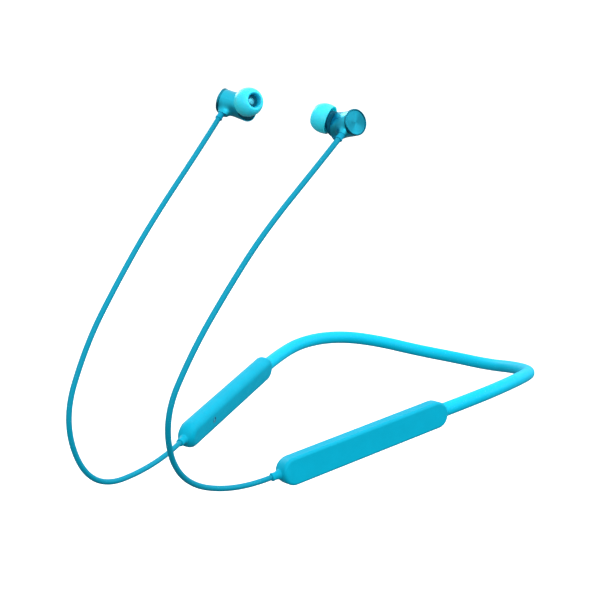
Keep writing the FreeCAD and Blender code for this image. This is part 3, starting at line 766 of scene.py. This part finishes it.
def boss_height(x, sideways):
    """Height of the cord boss above the barrel's axis, falling off smoothly round the cord."""
    along = (x - CORD_EXIT_ALONG) * (1.0 if x < CORD_EXIT_ALONG else BOSS_TAPER)
    away = math.hypot(along, sideways) - BOSS_TOP_RADIUS
    if away <= 0:
        return BOSS_OUT
    if away >= BOSS_SPREAD:
        return 0.0
    return BOSS_OUT - (BOSS_OUT - BOSS_FOOT) * (away / BOSS_SPREAD) ** 0.7


def boss_reach(x, angle, sign):
    """Radius at which the boss's surface crosses this direction, or 0 behind it."""
    lift = math.sin(angle) * sign
    if lift < 0.25:
        return 0.0

    def inside(reach):
        return reach * lift < boss_height(x, reach * math.cos(angle))

    return furthest(inside, BOSS_OUT * 1.6, 28)


def barrel_body(side, place):
    """Waisted barrel cut off at a slant, with a narrow lip there and a faired cord boss.

    The profile's first number is the share of the way from the back to the slanted end.
    """
    sign = cord_sign(side)
    slim, wide = BARREL_WAIST_RADIUS, BARREL_FRONT_RADIUS
    profile = flowing([
        (0.0, BUD_BACK_RADIUS - 0.32), (0.12, slim + 0.08), (0.32, slim), (0.55, slim + 0.1),
        (0.78, wide - 0.2), (0.955, wide - 0.02),
    ], 8)
    lip = ((0.985, wide), (0.997, wide - 0.08), (1.0, wide - 0.2), (0.998, wide - 0.36))
    profile += [Vector(p) for p in lip]
    swing = math.radians(NOZZLE_SWING) * sign
    slant = math.tan(math.radians(SHOULDER_TILT))
    rings = []
    for t, r in profile:
        ring = []
        for a in ring_angles(192):
            end = BARREL_FRONT - slant * r * math.cos(a - swing)
            x = BARREL_BACK + (end - BARREL_BACK) * t
            boss = boss_reach(x, a, sign)
            fade = 1 - step_between(0.8, 0.97, t)
            grown = r
            if boss > 0 and t < 0.97:
                blend = smooth_max(r, r + (boss - r) * fade, 0.9 * fade + 0.001)
                grown = max(r, blend - 0.2 * fade)
            ring.append((x, grown * math.cos(a), grown * math.sin(a)))
        rings.append(ring)
    mesh = skin(side + "_barrel_body", rings, capped=False)
    piece = new_piece(side + "_barrel_body", mesh, place, "root", "anodised_metal", 30)
    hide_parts(side + "_barrel")


def cord_collar(side, place):
    """Short ribbed strain relief where the cord enters the bud."""
    sign = cord_sign(side)
    spot = turned_about(place, (CORD_EXIT_ALONG, 0, 0), (0, 0, sign))
    outline = eased([
        (6.6, 1.45, 0), (7.3, 1.45, 0.1), (7.7, 1.42, 0.1), (9.0, 1.42, 0.1), (9.15, 1.6, 0.1),
        (9.75, 1.6, 0.15), (CORD_EXIT_OUT - 0.03, 1.4, 0.08), (CORD_EXIT_OUT - 0.03, 0.0, 0),
    ])
    name = side + "_cord_collar"
    piece = new_piece(name, turned(name, outline, 96), spot, "root", "relief_rubber")
    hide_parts(side + "_bud_relief")


def soft_tip(side):
    """Mushroom tip: thin outer skirt, rounded nose with a flared opening, inner core."""
    outer = flowing([
        (13.8, 3.3), (13.95, 3.75), (13.65, 4.4), (12.55, 5.35), (10.95, 6.02), (9.15, 6.3), (7.5, 6.22),
        (6.43, 6.02),
    ])
    inside = flowing([
        (6.43, 5.66), (7.6, 5.72), (9.4, 5.5), (10.6, 4.95), (11.2, 4.3), (11.05, 3.75), (10.4, 3.5),
        (8.9, 3.4), (7.3, 3.38),
    ])
    core = eased([(7.3, 3.38, 0), (7.15, 3.25, 0.08), (7.15, 2.8, 0.1), (7.35, 2.7, 0.08), (11.8, 2.7, 0)])
    mouth = flowing([(11.8, 2.7), (12.6, 2.76), (13.4, 2.95), (13.8, 3.3)])
    outline = outer + [Vector((6.33, 5.84))] + inside + core[1:-1] + mouth[:-1]
    name = side + "_tip_skin"
    body = side + "_ear_tip"
    piece = new_piece(name, turned(name, outline, 128, True), tip_frame(side), body, "tip_silicone", 60)
    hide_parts(side + "_ear_tip")


def sound_grille(side):
    """Slightly domed woven grille at the nozzle's mouth."""
    back = GRILLE_BACK
    outline = flowing([(back, 1.69), (back + 0.25, 1.55), (back + 0.5, 0.9), (back + 0.58, 0.0)])
    name = side + "_sound_grille"
    piece = new_piece(name, turned(name, outline, 64), tip_frame(side), "root", "nozzle_mesh", 60)
    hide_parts(side + "_nozzle_mesh")


def make_bud(side):
    place = bud_frame(side)
    back_disc(side, place)
    barrel_body(side, place)
    cord_collar(side, place)
    sound_grille(side)
    soft_tip(side)


# ---------------- studio, in metres ----------------
FLOOR_DROP = 0.09             # the earphones hang this far above the floor
FLOOR_HALF = 60.0
DOME_STRENGTH = 2.2
# place from straight down (0) to straight up (1), and grey level there
DOME_STOPS = ((0.0, 0.07), (0.40, 0.11), (0.52, 0.31), (0.66, 0.51), (1.0, 0.60))
# azimuth and elevation in degrees, then distance, width and watts
SOFTBOXES = {
    "overhead": (124, 62, 1.6, 0.9, 5),
    "back_right": (138, 20, 1.5, 0.6, 5),
    "left": (-110, 22, 1.4, 0.45, 5),
    "key": (70, 36, 1.5, 0.6, 6),
    "fill": (20, 10, 1.4, 0.8, 3),
}


def make_floor():
    """Pale paper floor; it doesn't throw its colour onto the object."""
    size = FLOOR_HALF
    mesh = bpy.data.meshes.new("floor")
    mesh.from_pydata(
        [(-size, -size, 0), (size, -size, 0), (size, size, 0), (-size, size, 0)], [], [(0, 1, 2, 3)],
    )
    floor = bpy.data.objects.new("floor", mesh)
    bpy.context.scene.collection.objects.link(floor)
    floor.location.z = cad_box[0].z - FLOOR_DROP
    floor.visible_diffuse = False
    floor.visible_glossy = False
    floor.visible_transmission = False
    material, tree, shader = new_material("floor")
    paper = noise(tree, coordinates(tree), 6, 3)
    coloured(tree, shader, paper, (0.97, 0.97, 0.97), (0.985, 0.985, 0.985))
    shader.inputs["Roughness"].default_value = 0.9
    shader.inputs["Specular IOR Level"].default_value = 0.0
    mesh.materials.append(material)


def make_world():
    """Soft dome: brightest overhead, fading through the horizon to dim below."""
    world = bpy.data.worlds.new("studio")
    bpy.context.scene.world = world
    world.use_nodes = True
    tree = world.node_tree
    way = tree.nodes.new("ShaderNodeTexCoord").outputs["Generated"]
    parts = tree.nodes.new("ShaderNodeSeparateXYZ")
    tree.links.new(way, parts.inputs["Vector"])
    level = spread(tree, parts.outputs["Z"], 0, 1, -1, 1)
    ramp = tree.nodes.new("ShaderNodeValToRGB")
    while len(ramp.color_ramp.elements) < len(DOME_STOPS):
        ramp.color_ramp.elements.new(0.5)
    for element, (spot, grey) in zip(ramp.color_ramp.elements, DOME_STOPS):
        element.position = spot
        element.color = (grey, grey, grey, 1)
    tree.links.new(level, ramp.inputs["Fac"])
    background = next(n for n in tree.nodes if n.type == "BACKGROUND")
    tree.links.new(ramp.outputs["Color"], background.inputs["Color"])
    background.inputs["Strength"].default_value = DOME_STRENGTH


def softbox(name, azimuth, elevation, distance, size, energy):
    """Square area light aimed at the middle of the object."""
    middle = (cad_box[0] + cad_box[1]) / 2
    out = heading(azimuth, elevation)
    data = bpy.data.lights.new(name, "AREA")
    data.size = size
    data.energy = energy
    light = bpy.data.objects.new(name, data)
    bpy.context.scene.collection.objects.link(light)
    light.location = middle + out * distance
    look_back(light, out)


# ---------------- build ----------------
make_camera()
left_module = module_frame(LEFT_CORD[0], LEFT_BACK, -1)
right_module = module_frame(RIGHT_CORD[0], RIGHT_BACK, 1)
paint_cad_nodes()
make_cords()
make_band(left_module, right_module)
module_nose("left", left_module, LEFT_EDGE_ROUNDS)
module_nose("right", right_module, RIGHT_EDGE_ROUNDS)
status_window(right_module)
button_marks(right_module)
make_bud("left")
make_bud("right")
make_floor()
make_world()
for lamp, setting in SOFTBOXES.items():
    softbox(lamp, *setting)
bpy.context.scene.view_settings.view_transform = "Standard"
